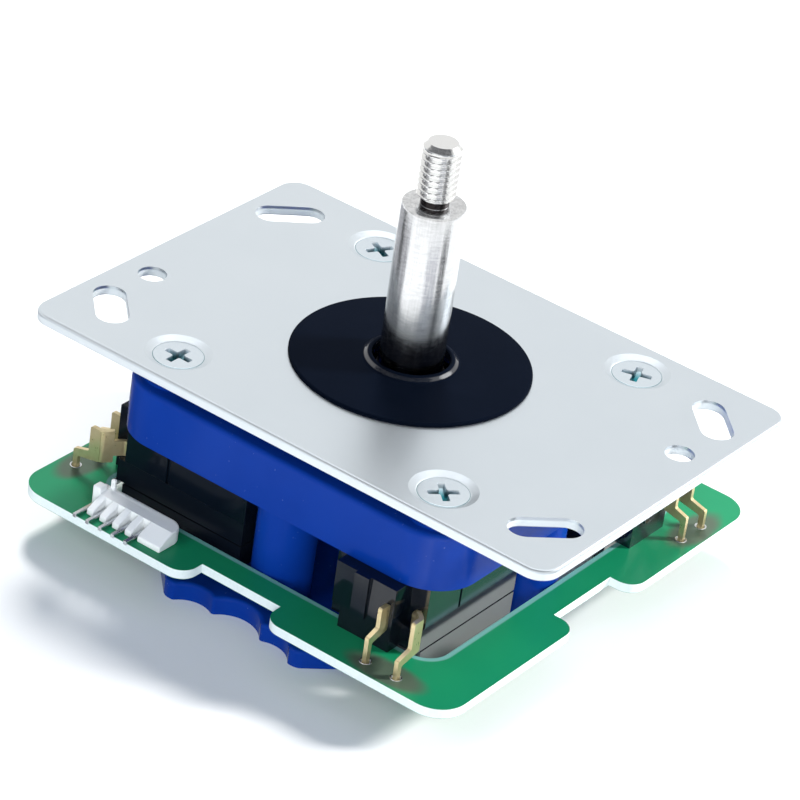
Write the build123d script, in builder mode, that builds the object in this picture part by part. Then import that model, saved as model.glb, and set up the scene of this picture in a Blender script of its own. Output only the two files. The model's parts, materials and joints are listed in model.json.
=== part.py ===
from build123d import *
import os
from math import acos, atan2, cos, radians, sin, tan

os.makedirs("parts", exist_ok=True)

# Arcade joystick lever, in millimetres.
# The origin is the centre of the mounting plate's top face, on the lever's axis.
# +Z runs up the lever and +X along the plate's long side.

# Lever motion: tilt to each side, and the room kept round everything that swings
tilt = 7.0
tilt_room = 0.3

# Small fits
seat_gap = 0.05
slide_gap = 0.1

# Snap switches, four of them turned round the lever
switch_length = 27.8
switch_width = 15.9
case_height = 7.1
cover_height = 3.8
cover_inset = 0.12
switch_inset = 3.3
switch_overhang = 2.3
switch_side_gap = 1.7
end_step_length = 4.2
cover_step_length = 2.9
end_step_width = 3.1
corner_step_length = 2.9
case_corner_width = 1.9
cover_corner_width = 3.4
end_rib_width = 2.6
end_rib_proud = 0.6
end_rib_from_inner = 6.9
peg_hole_radius = 1.6
peg_inset = 3.2
peg_end_inset = 6.4
case_groove = 0.5
case_groove_from_end = 12.6
foot_inner_inset = 3.0
foot_end_room = 1.4
foot_groove = 0.3
foot_clearance = 0.4

# Switch terminals: flat strips, wide at the switch and stepped out to a narrow leg at the board
terminal_thickness = 0.7
terminal_drop = 2.6
terminal_leg = 0.9
terminal_reach = 3.9
terminal_spacing = 5.6
terminal_from_outer = 4.1
terminal_tail = 1.0
terminal_fall = 0.8
terminal_waist = 1.1
terminal_rounding = 0.35
terminal_hole_radius = 0.75
inner_knee = 3.3
inner_step = 2.3
outer_knee = 4.45
outer_step = 2.9
outer_blade_width = 2.05
jog_neck_inset = 1.5
jog_neck_length = 1.2
jog_neck_height = 2.6
jog_bend_radius = 1.0

# Switch arm and plunger
arm_thickness = 0.4
arm_height = 2.8
arm_gap = 0.6
arm_flat = 4.0
arm_bend_radius = 2.0
arm_heel_radius = 0.6
arm_heel_from_end = 5.3
arm_heel_sink = 0.4
arm_pocket_half = 1.6
arm_pocket_depth = 1.2
plunger_width = 1.8
plunger_height = 2.0
plunger_from_heel = 8.0
plunger_gap = 0.3
plunger_engagement = 1.5
plunger_pocket_spare = 0.9

# Housing, built round the switches
pillar_radius = 4.8
pillar_inset = 0.6
pillar_tip_radius = 2.4
pillar_tip_short = 0.8
deck_gap = 2.4
deck_thickness = 2.5
skirt_height = 9.3
skirt_wall = 2.4
housing_corner_radius = 8.0
housing_edge_radius = 0.8
screw_inset = 7.0
post_radius = 4.5
pad_radius = 5.2
peg_radius = 1.5
peg_boss_radius = 2.4
rib_thickness = 2.0
rib_depth = 3.0

# Pivot
pivot_rise = 0.4
ball_radius = 6.0
ball_top_height = 3.8
ball_foot_depth = 4.0
pivot_boss_wall = 1.5
pivot_boss_depth = 4.6

# Lever shaft
shaft_radius = 5.0
shaft_height = 27.45
shaft_chamfer = 0.4
neck_radius = 2.2
neck_length = 1.4
thread_radius = 3.0
thread_length = 8.9
thread_chamfer = 0.8
thread_lead_in = 0.5
rod_radius = 3.0
rod_chamfer = 0.5
rod_tail = 0.8

# Spring, actuator and clip
spring_seat_thickness = 0.8
spring_seat_radius = 7.2
spring_collar_wall = 0.8
spring_collar_height = 1.2
spring_wire_radius = 0.45
spring_radius = 6.1
spring_length = 5.4
spring_turns = 3.0
spring_end_gap = 0.05
actuator_radius = 5.0
actuator_length = 13.6
flange_radius = 7.2
flange_thickness = 1.0
flange_room = 0.4
clip_thickness = 0.8
clip_radius = 4.6
clip_groove_depth = 0.8
clip_mouth = 3.4

# Mounting plate
plate_length = 97.0
plate_margin = 0.5
plate_thickness = 1.6
plate_corner_radius = 3.5
plate_edge_roll = 0.5
shaft_hole_radius = 11.0
slot_length = 11.3
slot_width = 5.2
slot_end_inset = 7.5
slot_side_inset = 10.5
slot_angle = 45.0
side_hole_radius = 2.3
side_hole_end_inset = 5.6
side_hole_offset = 10.0
dimple_radius = 5.2
dimple_drop = 1.0
dimple_wall = 1.0
screw_sink = 0.5
screw_head_radius = 4.0
screw_radius = 1.8
screw_length = 9.0

# Dust washer
washer_radius = 18.7
washer_thickness = 0.6
washer_rim = 0.4
collar_wall = 1.15
collar_height = 1.4
collar_rounding = 0.35

# Circuit board
board_thickness = 1.6
board_margin = 2.8
board_corner_radius = 5.0
board_clearance = 0.4
opening_corner_radius = 4.0
notch_width = 15.0
notch_depth = 4.4
notch_corner_radius = 3.0

# Connector at the front edge of the board
pin_count = 5
pin_pitch = 2.5
pin_thickness = 0.64
pin_height = 0.7
pin_proud = 0.6
pin_tail = 1.0
pin_hole_radius = 0.6
connector_end_inset = 12.4
shell_height = 2.4
shell_front_height = 1.0
shell_back_depth = 3.0
shell_slot_depth = 2.9
shell_front_inset = 1.5
shell_slot_width = 1.2
shell_left_wall = 0.9
shell_right_wall = 5.0
shell_round = 2.4
cheek_width = 1.5
cheek_depth = 1.7
cheek_height = 3.3
key_width = 0.8
key_depth = 0.7
key_height = 4.0

# Restrictor gate
gate_gap = 3.0
gate_thickness = 3.0
gate_disc_radius = 23.5
guide_wall = 3.0
guide_rise = 3.4
guide_corner_radius = 1.2
tongue_wall = 1.8
tab_inset = 2.8
tab_horn = 1.0
tab_flank = 7.0
tab_corner_radius = 2.0
tab_edge_radius = 0.6
middle_scallop_radius = 5.4
middle_scallop_depth = 3.9
side_scallop_radius = 4.5
side_scallop_depth = 2.2
side_scallop_offset = 7.2
scallop_blend = 0.7

# Levels, from the plate's top face down
plate_bottom = -plate_thickness
pad_top = plate_bottom - dimple_drop
deck_top = plate_bottom - deck_gap
deck_bottom = deck_top - deck_thickness
switch_top = deck_top - skirt_height
case_split = switch_top - case_height
board_top = case_split - cover_height
board_bottom = board_top - board_thickness
gate_top = board_bottom - gate_gap
gate_bottom = gate_top - gate_thickness

pivot_level = deck_top + pivot_rise
ball_top = pivot_level + ball_top_height
ball_foot = pivot_level - ball_foot_depth
boss_bottom = deck_top - pivot_boss_depth
spring_top = boss_bottom - spring_seat_thickness
flange_top = spring_top - spring_length
flange_bottom = flange_top - flange_thickness
clip_top = flange_top - actuator_length
clip_bottom = clip_top - clip_thickness
rod_end = clip_bottom - rod_tail

# Tilt of the lever with both of its axes at their limit
side_tilt = radians(tilt)
corner_tilt = acos(cos(side_tilt) ** 2)


def swept_radius(level, radius):
    """Radius that a round length of the lever sweeps at a level, in any direction of tilt."""
    return abs(level - pivot_level) * tan(corner_tilt) + radius / cos(corner_tilt) + tilt_room


arm_top = flange_bottom - flange_radius * sin(corner_tilt) - flange_room
arm_middle = arm_top - arm_height / 2
plunger_top = arm_middle + plunger_height / 2

# Plan of the right-hand switch, with the lever at the origin
housing_half = switch_side_gap + pillar_radius + switch_length - switch_overhang
switch_outer = housing_half - switch_inset
switch_inner = switch_outer - switch_width
switch_far = -(pillar_radius + switch_side_gap)
switch_end = switch_far - switch_length
step_x = switch_outer - end_step_width
step_y = switch_end + end_step_length
cover_step_y = switch_end + cover_step_length
corner_y = switch_end + corner_step_length
outer_peg = (switch_outer - peg_inset, switch_far - peg_inset)
inner_peg = (switch_inner + peg_inset, switch_end + peg_end_inset)
switch_pegs = [outer_peg, inner_peg]
inner_terminal = switch_outer - terminal_from_outer
outer_terminal = inner_terminal + terminal_spacing
terminal_foot = switch_end - terminal_reach

# Switch arm: from its heel in the case to a flat stretch beside the actuator
heel = (switch_inner - arm_heel_sink, switch_end + arm_heel_from_end)
arm_line = actuator_radius + arm_gap + arm_thickness / 2
arm_bend = (arm_line, -actuator_radius)
arm_tip = (arm_line, arm_flat)
arm_lean = atan2(heel[0] - arm_bend[0], arm_bend[1] - heel[1])
plunger_y = heel[1] + plunger_from_heel
arm_at_plunger = heel[0] - plunger_from_heel * tan(arm_lean) + arm_thickness / 2 / cos(arm_lean)
plunger_tip = arm_at_plunger + plunger_gap
plunger_rear = switch_inner + plunger_engagement

pillar_offset = housing_half - pillar_inset - pillar_radius
screw_offset = housing_half - screw_inset
plate_width = 2 * (housing_half + plate_margin)
slot_x = plate_length / 2 - slot_end_inset
slot_y = plate_width / 2 - slot_side_inset
side_hole_x = plate_length / 2 - side_hole_end_inset
board_half = board_margin - terminal_foot
opening_half = housing_half - pillar_inset + board_clearance
notch_floor = board_half - notch_depth

# The four switches, by the quarter turn that brings the right-hand one to each side
sides = {"right": 0, "back": 90, "left": 180, "front": 270}


# Alignment of a round solid that hangs down from its location
hung = (Align.CENTER, Align.CENTER, Align.MAX)


def quarter_turn(angle):
    """Placement that turns the right-hand switch's plan about the lever."""
    return Location((0, 0, 0), (0, 0, angle))


def turned(plane, angle):
    """A plane of the right-hand switch, carried round the lever to another side."""
    return Plane(quarter_turn(angle) * plane.location)


# Mounting plate: rolled upper edge, pressed dimples that sink the screw heads
head_top = -screw_sink
head_height = plate_thickness + dimple_drop - screw_sink
screw_grid = GridLocations(2 * screw_offset, 2 * screw_offset, 2, 2)
screw_points = [(place.position.X, place.position.Y) for place in screw_grid.locations]
dimple_foot = screw_radius + dimple_wall + 2 * seat_gap

with BuildPart() as mount_plate:
    with BuildSketch(Plane.XY.offset(plate_bottom)):
        RectangleRounded(plate_length, plate_width, plate_corner_radius)
    extrude(amount=plate_thickness)
    fillet(mount_plate.faces().sort_by(Axis.Z)[-1].edges(), plate_edge_roll)
    with Locations([(x, y, plate_bottom) for x, y in screw_points]):
        Cone(dimple_foot, dimple_radius + dimple_wall, dimple_drop, align=hung)
    with BuildSketch(Plane.XY):
        Circle(shaft_hole_radius)
        with Locations((slot_x, -slot_y), (-slot_x, slot_y)):
            SlotOverall(slot_length, slot_width, rotation=slot_angle)
        with Locations((slot_x, slot_y), (-slot_x, -slot_y)):
            SlotOverall(slot_length, slot_width, rotation=-slot_angle)
        with Locations((side_hole_x, side_hole_offset), (-side_hole_x, -side_hole_offset)):
            Circle(side_hole_radius)
    extrude(amount=-plate_thickness, mode=Mode.SUBTRACT)
    with Locations([(x, y, 0) for x, y in screw_points]):
        Cone(
            screw_head_radius + seat_gap,
            dimple_radius,
            screw_sink,
            align=hung,
            mode=Mode.SUBTRACT,
        )
    with Locations([(x, y, head_top) for x, y in screw_points]):
        Cone(
            screw_radius + seat_gap,
            screw_head_radius + seat_gap,
            head_height,
            align=hung,
            mode=Mode.SUBTRACT,
        )
mount_plate.part.label = "mount_plate"
export_step(mount_plate.part, "parts/mount_plate.step")

# Countersunk screws, one at each corner of the housing
with BuildPart() as plate_screws:
    with Locations([(x, y, head_top) for x, y in screw_points]):
        Cone(screw_radius, screw_head_radius, head_height, align=hung)
    with Locations([(x, y, pad_top) for x, y in screw_points]):
        Cylinder(screw_radius, screw_length, align=hung)
plate_screws.part.label = "plate_screws"
export_step(plate_screws.part, "parts/plate_screws.step")

# Dust washer: loose on the plate, its collar wide enough for the tilted shaft
washer_bore = swept_radius(collar_height, shaft_radius)
collar_radius = washer_bore + collar_wall
collar_rise = collar_height - washer_thickness
collar_fillet = min(collar_rounding, collar_wall / 2 - seat_gap, collar_rise / 2 - seat_gap)
with BuildPart() as dust_washer:
    with BuildSketch(Plane.XZ) as washer_section:
        with BuildLine():
            Polyline(
                (washer_bore, 0),
                (washer_radius, 0),
                (washer_radius, washer_thickness),
                (collar_radius, washer_thickness),
                (collar_radius, collar_height),
                (washer_bore, collar_height),
                close=True,
            )
        make_face()
        for rounded_corner, rounding in (
            ((washer_radius, washer_thickness), min(washer_rim, washer_thickness - seat_gap)),
            ((collar_radius, collar_height), collar_fillet),
            ((collar_radius, washer_thickness), collar_fillet),
        ):
            fillet(washer_section.vertices().sort_by_distance((*rounded_corner, 0))[0], rounding)
    revolve(axis=Axis.Z)
dust_washer.part.label = "dust_washer"
export_step(dust_washer.part, "parts/dust_washer.step")

# Lever shaft: thread, thick upper length, thin rod through ball and actuator, clip groove
thread_start = shaft_height + neck_length
thread_top = thread_start + thread_length
groove_radius = rod_radius - clip_groove_depth
with BuildPart() as lever_shaft:
    with BuildSketch(Plane.XZ):
        with BuildLine():
            Polyline(
                (0, rod_end),
                (rod_radius - rod_chamfer, rod_end),
                (rod_radius, rod_end + rod_chamfer),
                (rod_radius, clip_bottom),
                (groove_radius, clip_bottom),
                (groove_radius, clip_top),
                (rod_radius, clip_top),
                (rod_radius, ball_top),
                (shaft_radius, ball_top),
                (shaft_radius, shaft_height - shaft_chamfer),
                (shaft_radius - shaft_chamfer, shaft_height),
                (neck_radius, shaft_height),
                (neck_radius, thread_start - thread_lead_in),
                (thread_radius, thread_start),
                (thread_radius, thread_top - thread_chamfer),
                (thread_radius - thread_chamfer, thread_top),
                (0, thread_top),
                close=True,
            )
        make_face()
    revolve(axis=Axis.Z)
lever_shaft.part.label = "lever_shaft"
export_step(lever_shaft.part, "parts/lever_shaft.step")

# Pivot ball: flat where the shaft's shoulder sits, cut short below
with BuildPart() as pivot_ball:
    with Locations((0, 0, pivot_level)):
        Sphere(ball_radius)
    split(bisect_by=Plane.XY.offset(ball_top), keep=Keep.BOTTOM)
    split(bisect_by=Plane.XY.offset(ball_foot), keep=Keep.TOP)
    with Locations((0, 0, pivot_level)):
        Cylinder(rod_radius + seat_gap, 2 * ball_radius, mode=Mode.SUBTRACT)
pivot_ball.part.label = "pivot_ball"
export_step(pivot_ball.part, "parts/pivot_ball.step")

# Spring seat: washer under the housing's pivot boss, its collar inside the spring
spring_bore = swept_radius(spring_top - spring_collar_height, rod_radius)
with BuildPart() as spring_seat:
    with BuildSketch(Plane.XY.offset(spring_top)):
        Circle(spring_seat_radius)
        Circle(spring_bore, mode=Mode.SUBTRACT)
    extrude(amount=spring_seat_thickness)
    with BuildSketch(Plane.XY.offset(spring_top)):
        Circle(spring_bore + spring_collar_wall)
        Circle(spring_bore, mode=Mode.SUBTRACT)
    extrude(amount=-spring_collar_height)
spring_seat.part.label = "spring_seat"
export_step(spring_seat.part, "parts/spring_seat.step")

# Return spring, lightly pressed between its seat and the actuator's flange
coil_height = spring_length - 2 * (spring_wire_radius + spring_end_gap)
coil_bottom = flange_top + spring_wire_radius + spring_end_gap
with BuildPart() as return_spring:
    with BuildLine() as spring_path:
        Helix(coil_height / spring_turns, coil_height, spring_radius, center=(0, 0, coil_bottom))
    with BuildSketch(Plane(origin=spring_path.line @ 0, z_dir=spring_path.line % 0)):
        Circle(spring_wire_radius)
    sweep(path=spring_path.line, is_frenet=True)
return_spring.part.label = "return_spring"
export_step(return_spring.part, "parts/return_spring.step")

# Actuator: sleeve that pushes the switch arms, with the flange that takes the spring
with BuildPart() as actuator:
    with BuildSketch(Plane.XY.offset(flange_top)):
        Circle(flange_radius)
    extrude(amount=-flange_thickness)
    with BuildSketch(Plane.XY.offset(flange_top)):
        Circle(actuator_radius)
    extrude(amount=-actuator_length)
    fillet(actuator.faces().sort_by(Axis.Z)[0].edges(), tilt_room)
    with Locations((0, 0, flange_top)):
        Cylinder(
            rod_radius + seat_gap,
            actuator_length,
            align=hung,
            mode=Mode.SUBTRACT,
        )
actuator.part.label = "actuator"
export_step(actuator.part, "parts/actuator.step")

# Retaining clip: open ring sprung into the rod's groove
with BuildPart() as retaining_clip:
    with BuildSketch(Plane.XY.offset(clip_bottom)):
        Circle(clip_radius)
        Circle(groove_radius + seat_gap, mode=Mode.SUBTRACT)
        with Locations((clip_radius / 2, 0)):
            Rectangle(clip_radius, clip_mouth, mode=Mode.SUBTRACT)
    extrude(amount=clip_thickness)
retaining_clip.part.label = "retaining_clip"
export_step(retaining_clip.part, "parts/retaining_clip.step")

# Housing: skirt and deck, pivot seat, screw posts, switch pegs, ribs and four legs
ball_seat_radius = ball_radius + slide_gap
pivot_hole = swept_radius(boss_bottom, rod_radius)
pivot_boss = ball_seat_radius + pivot_boss_wall
peg_points = [quarter_turn(angle) * Pos(x, y) for angle in sides.values() for x, y in switch_pegs]
with BuildPart() as housing:
    with BuildSketch(Plane.XY.offset(deck_top)):
        RectangleRounded(2 * housing_half, 2 * housing_half, housing_corner_radius)
    extrude(amount=-skirt_height)
    fillet(housing.faces().sort_by(Axis.Z)[-1].edges(), housing_edge_radius)
    with BuildSketch(Plane.XY.offset(deck_bottom)):
        inner_side = 2 * (housing_half - skirt_wall)
        RectangleRounded(inner_side, inner_side, housing_corner_radius - skirt_wall)
    extrude(amount=switch_top - deck_bottom, mode=Mode.SUBTRACT)
    with BuildSketch(Plane.XY.offset(deck_bottom)):
        Rectangle(2 * pillar_offset, rib_thickness)
        Rectangle(rib_thickness, 2 * pillar_offset)
        Circle(pivot_boss, mode=Mode.SUBTRACT)
    extrude(amount=-rib_depth)
    with BuildSketch(Plane.XY.offset(deck_top)):
        Circle(pivot_boss)
    extrude(amount=boss_bottom - deck_top)
    with BuildSketch(Plane.XY.offset(pad_top)):
        with Locations(screw_points):
            Circle(pad_radius)
    extrude(amount=deck_bottom - pad_top)
    with BuildSketch(Plane.XY.offset(deck_bottom)):
        with Locations(screw_points):
            Circle(post_radius)
        with Locations(peg_points):
            Circle(peg_boss_radius)
    extrude(amount=switch_top - deck_bottom)
    with BuildSketch(Plane.XY.offset(switch_top)):
        with Locations(peg_points):
            Circle(peg_radius)
    extrude(amount=board_top - switch_top)
    with BuildSketch(Plane.XY.offset(deck_bottom)):
        with PolarLocations(pillar_offset, len(sides)):
            Circle(pillar_radius)
    extrude(amount=gate_top - deck_bottom)
    with BuildSketch(Plane.XY.offset(gate_top)):
        with PolarLocations(pillar_offset, len(sides)):
            Circle(pillar_tip_radius)
    extrude(amount=gate_bottom + pillar_tip_short - gate_top)
    with Locations((0, 0, pivot_level)):
        Sphere(ball_seat_radius, mode=Mode.SUBTRACT)
        Cylinder(
            pivot_hole,
            pivot_level - boss_bottom,
            align=hung,
            mode=Mode.SUBTRACT,
        )
    with Locations([(x, y, pad_top) for x, y in screw_points]):
        Cylinder(
            screw_radius + seat_gap,
            screw_length + seat_gap,
            align=hung,
            mode=Mode.SUBTRACT,
        )
housing.part.label = "housing"
export_step(housing.part, "parts/housing.step")

# Places on the board: terminal feet, then the connector's pins along the front edge
terminal_plan = [(inner_terminal, terminal_foot), (outer_terminal, terminal_foot)]
terminal_feet = [quarter_turn(angle) * Pos(x, y) for angle in sides.values() for x, y in terminal_plan]
first_pin = connector_end_inset - board_half
pin_xs = [first_pin + pin_pitch * index for index in range(pin_count)]
shell_front = shell_front_inset - board_half
shell_slot_end = shell_front + shell_slot_depth
shell_back = shell_slot_end + shell_back_depth
pin_leg = shell_slot_end - pin_thickness / 2 - seat_gap

# Circuit board: square ring with a notch in the middle of each side
with BuildPart() as circuit_board:
    with BuildSketch(Plane.XY.offset(board_bottom)) as board_plan:
        RectangleRounded(2 * board_half, 2 * board_half, board_corner_radius)
        with PolarLocations(board_half, len(sides)):
            Rectangle(2 * notch_depth, notch_width, mode=Mode.SUBTRACT)
        notch_lips = board_plan.vertices().filter_by(
            lambda lip: max(abs(lip.X), abs(lip.Y)) > notch_floor + notch_depth / 2
            and min(abs(lip.X), abs(lip.Y)) < notch_width / 2 + seat_gap
        )
        fillet(notch_lips, notch_corner_radius)
        RectangleRounded(2 * opening_half, 2 * opening_half, opening_corner_radius, mode=Mode.SUBTRACT)
        with Locations(terminal_feet):
            Circle(terminal_hole_radius, mode=Mode.SUBTRACT)
        with Locations([(x, pin_leg) for x in pin_xs]):
            Circle(pin_hole_radius, mode=Mode.SUBTRACT)
    extrude(amount=board_thickness)
circuit_board.part.label = "circuit_board"
export_step(circuit_board.part, "parts/circuit_board.step")

# Snap switches: case, cover, terminals, hinged arm and plunger, on each of the four sides
terminal_top = switch_top - terminal_drop
leg_face = terminal_foot - terminal_leg / 2
leg_back = terminal_foot + terminal_leg / 2
leg_end = board_bottom - terminal_tail
strip_rounding = min(terminal_rounding, terminal_leg / 2 - seat_gap)
outer_face = leg_face + outer_step
outer_root = outer_face + outer_blade_width
outer_blade_height = outer_knee + terminal_waist
# Each strip: its place across the switch, the blade's two edges and the level of its knee
strips = [
    (inner_terminal, switch_end, leg_face + inner_step, terminal_top - inner_knee),
    (outer_terminal, outer_root, outer_face, terminal_top - outer_knee),
]
# The outer strip starts in a neck on the case's step and jogs out to its blade
neck_root = (switch_outer - jog_neck_inset, step_y)
neck_end = (neck_root[0], step_y - jog_neck_length)
neck_top = case_split + slide_gap + jog_neck_height
jog_end = (outer_terminal, outer_root)
jog_middle = ((neck_end[0] + jog_end[0]) / 2, (neck_end[1] + jog_end[1]) / 2)
jog_tail = (outer_terminal, (outer_root + outer_face) / 2)

# Foot of the cover, let down through the board's opening, with a groove at the board's top
foot_outer = min(switch_outer - cover_inset, opening_half - foot_end_room)
foot_inner = switch_inner + foot_inner_inset
foot_near = switch_far - cover_inset
foot_far = max(foot_end_room - opening_half, step_y)
foot_width = foot_outer - foot_inner
foot_length = foot_near - foot_far
foot_middle = (foot_inner + foot_width / 2, foot_far + foot_length / 2)

for side, angle in sides.items():
    with BuildPart() as switch_case:
        with BuildSketch(turned(Plane.XY.offset(switch_top), angle)):
            with BuildLine():
                Polyline(
                    (switch_inner, switch_far),
                    (switch_outer, switch_far),
                    (switch_outer, step_y),
                    (step_x, step_y),
                    (step_x, switch_end),
                    (switch_inner + case_corner_width, switch_end),
                    (switch_inner + case_corner_width, corner_y),
                    (switch_inner, corner_y),
                    close=True,
                )
            make_face()
            with Locations((switch_inner + end_rib_from_inner, switch_end)):
                Rectangle(end_rib_width, 2 * end_rib_proud)
            with Locations((switch_outer, switch_end + case_groove_from_end)):
                Rectangle(2 * case_groove, case_groove, mode=Mode.SUBTRACT)
            with Locations(switch_pegs):
                Circle(peg_hole_radius, mode=Mode.SUBTRACT)
        extrude(amount=-case_height)
        with BuildSketch(turned(Plane.XY.offset(arm_top + slide_gap), angle)):
            with Locations((switch_inner, heel[1])):
                Rectangle(2 * arm_pocket_depth, 2 * arm_pocket_half)
        extrude(amount=-(arm_height + 2 * slide_gap), mode=Mode.SUBTRACT)
        with BuildSketch(turned(Plane.XY.offset(plunger_top + slide_gap), angle)):
            with Locations((switch_inner, plunger_y)):
                pocket_length = 2 * (plunger_engagement + plunger_pocket_spare)
                Rectangle(pocket_length, plunger_width + 2 * slide_gap)
        extrude(amount=-(plunger_height + 2 * slide_gap), mode=Mode.SUBTRACT)
    switch_case.part.label = f"switch_case_{side}"
    export_step(switch_case.part, f"parts/switch_case_{side}.step")

    with BuildPart() as switch_cover:
        with BuildSketch(turned(Plane.XY.offset(case_split), angle)):
            with BuildLine():
                Polyline(
                    (switch_inner + cover_inset, switch_far - cover_inset),
                    (switch_outer - cover_inset, switch_far - cover_inset),
                    (switch_outer - cover_inset, cover_step_y),
                    (step_x - cover_inset, cover_step_y),
                    (step_x - cover_inset, switch_end + cover_inset),
                    (switch_inner + cover_corner_width, switch_end + cover_inset),
                    (switch_inner + cover_corner_width, corner_y),
                    (switch_inner + cover_inset, corner_y),
                    close=True,
                )
            make_face()
            with Locations(switch_pegs):
                Circle(peg_hole_radius, mode=Mode.SUBTRACT)
        extrude(amount=-cover_height)
        with BuildSketch(turned(Plane.XY.offset(board_top), angle)):
            with Locations(foot_middle):
                Rectangle(foot_width - 2 * foot_groove, foot_length - 2 * foot_groove)
            with Locations(switch_pegs):
                Circle(peg_hole_radius, mode=Mode.SUBTRACT)
        extrude(amount=-foot_groove)
        with BuildSketch(turned(Plane.XY.offset(board_top - foot_groove), angle)):
            with Locations(foot_middle):
                Rectangle(foot_width, foot_length)
        extrude(amount=gate_top + foot_clearance - board_top + foot_groove)
    switch_cover.part.label = f"switch_cover_{side}"
    export_step(switch_cover.part, f"parts/switch_cover_{side}.step")

    with BuildPart() as switch_terminals:
        for strip_x, blade_root, blade_face, knee_level in strips:
            strip_side = Plane.YZ.offset(strip_x - terminal_thickness / 2)
            with BuildSketch(turned(strip_side, angle)) as strip:
                with BuildLine():
                    Polyline(
                        (blade_root, terminal_top),
                        (blade_face, terminal_top),
                        (blade_face, knee_level),
                        (leg_face, knee_level - terminal_fall),
                        (leg_face, leg_end),
                        (leg_back, leg_end),
                        (leg_back, knee_level - terminal_fall - terminal_waist),
                        (blade_root, knee_level - terminal_waist),
                        close=True,
                    )
                make_face()
                fillet(strip.vertices(), strip_rounding)
            extrude(amount=terminal_thickness)
        with BuildSketch(turned(Plane.XY.offset(neck_top), angle)):
            with BuildLine():
                FilletPolyline(neck_root, neck_end, jog_end, jog_tail, radius=jog_bend_radius)
            trace(line_width=terminal_thickness)
        extrude(amount=-jog_neck_height)
        with BuildSketch(turned(Plane.XY.offset(terminal_top), angle)):
            with BuildLine():
                FilletPolyline(jog_middle, jog_end, jog_tail, radius=jog_bend_radius)
            trace(line_width=terminal_thickness)
        extrude(amount=-outer_blade_height)
    switch_terminals.part.label = f"switch_terminals_{side}"
    export_step(switch_terminals.part, f"parts/switch_terminals_{side}.step")

    with BuildPart() as switch_arm:
        with BuildSketch(turned(Plane.XY.offset(arm_top), angle)):
            with BuildLine():
                FilletPolyline(heel, arm_bend, arm_tip, radius=arm_bend_radius)
            trace(line_width=arm_thickness)
            with Locations(heel):
                Circle(arm_heel_radius)
        extrude(amount=-arm_height)
    switch_arm.part.label = f"switch_arm_{side}"
    export_step(switch_arm.part, f"parts/switch_arm_{side}.step")

    with BuildPart() as switch_plunger:
        with BuildSketch(turned(Plane.XY.offset(plunger_top), angle)):
            nose = plunger_tip + plunger_width / 2
            with Locations(((nose + plunger_rear) / 2, plunger_y)):
                Rectangle(plunger_rear - nose, plunger_width)
            with Locations((nose, plunger_y)):
                Circle(plunger_width / 2)
        extrude(amount=-plunger_height)
    switch_plunger.part.label = f"switch_plunger_{side}"
    export_step(switch_plunger.part, f"parts/switch_plunger_{side}.step")

# Connector shell: sloping comb with a slot for each pin, open at the left where its cheek and key stand
shell_left = pin_xs[0] - shell_left_wall
shell_right = pin_xs[-1] + shell_right_wall
slot_middle = (shell_front + shell_slot_end) / 2
with BuildPart() as connector_shell:
    with BuildSketch(Plane.YZ.offset(shell_left)):
        with BuildLine():
            Polyline(
                (shell_front, board_top),
                (shell_front, board_top + shell_front_height),
                (shell_slot_end, board_top + shell_height),
                (shell_back, board_top + shell_height),
                (shell_back, board_top),
                close=True,
            )
        make_face()
    extrude(amount=shell_right - shell_left)
    right_corners = connector_shell.edges().filter_by(Axis.Z).sort_by(Axis.X)[-2:]
    fillet(right_corners.sort_by(Axis.Y)[-1], shell_round)
    with BuildSketch(Plane.XY.offset(board_top)):
        with Locations((shell_left + cheek_width / 2, shell_slot_end + cheek_depth / 2)):
            Rectangle(cheek_width, cheek_depth)
    extrude(amount=cheek_height)
    with BuildSketch(Plane.XY.offset(board_top)):
        with Locations((shell_left + cheek_width + key_width / 2, shell_back - key_depth / 2)):
            Rectangle(key_width, key_depth)
    extrude(amount=key_height)
    with BuildSketch(Plane.XY.offset(board_top)):
        with Locations([(x, slot_middle) for x in pin_xs]):
            Rectangle(shell_slot_width, shell_slot_depth)
        with Locations(((shell_left + pin_xs[0]) / 2, slot_middle)):
            Rectangle(shell_left_wall, shell_slot_depth)
    extrude(amount=shell_height, mode=Mode.SUBTRACT)
connector_shell.part.label = "connector_shell"
export_step(connector_shell.part, "parts/connector_shell.step")

# Connector pins: bent square wire, from the board's front edge to its holes
pin_tip = -board_half - pin_proud
pin_level = board_top + pin_height
with BuildPart() as connector_pins:
    for pin_x in pin_xs:
        with BuildSketch(Plane.YZ.offset(pin_x - pin_thickness / 2)):
            with BuildLine():
                Polyline(
                    (pin_tip, pin_level),
                    (pin_leg + pin_thickness / 2, pin_level),
                    (pin_leg + pin_thickness / 2, board_bottom - pin_tail),
                    (pin_leg - pin_thickness / 2, board_bottom - pin_tail),
                    (pin_leg - pin_thickness / 2, pin_level - pin_thickness),
                    (pin_tip, pin_level - pin_thickness),
                    close=True,
                )
            make_face()
        extrude(amount=pin_thickness)
connector_pins.part.label = "connector_pins"
export_step(connector_pins.part, "parts/connector_pins.step")

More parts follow.
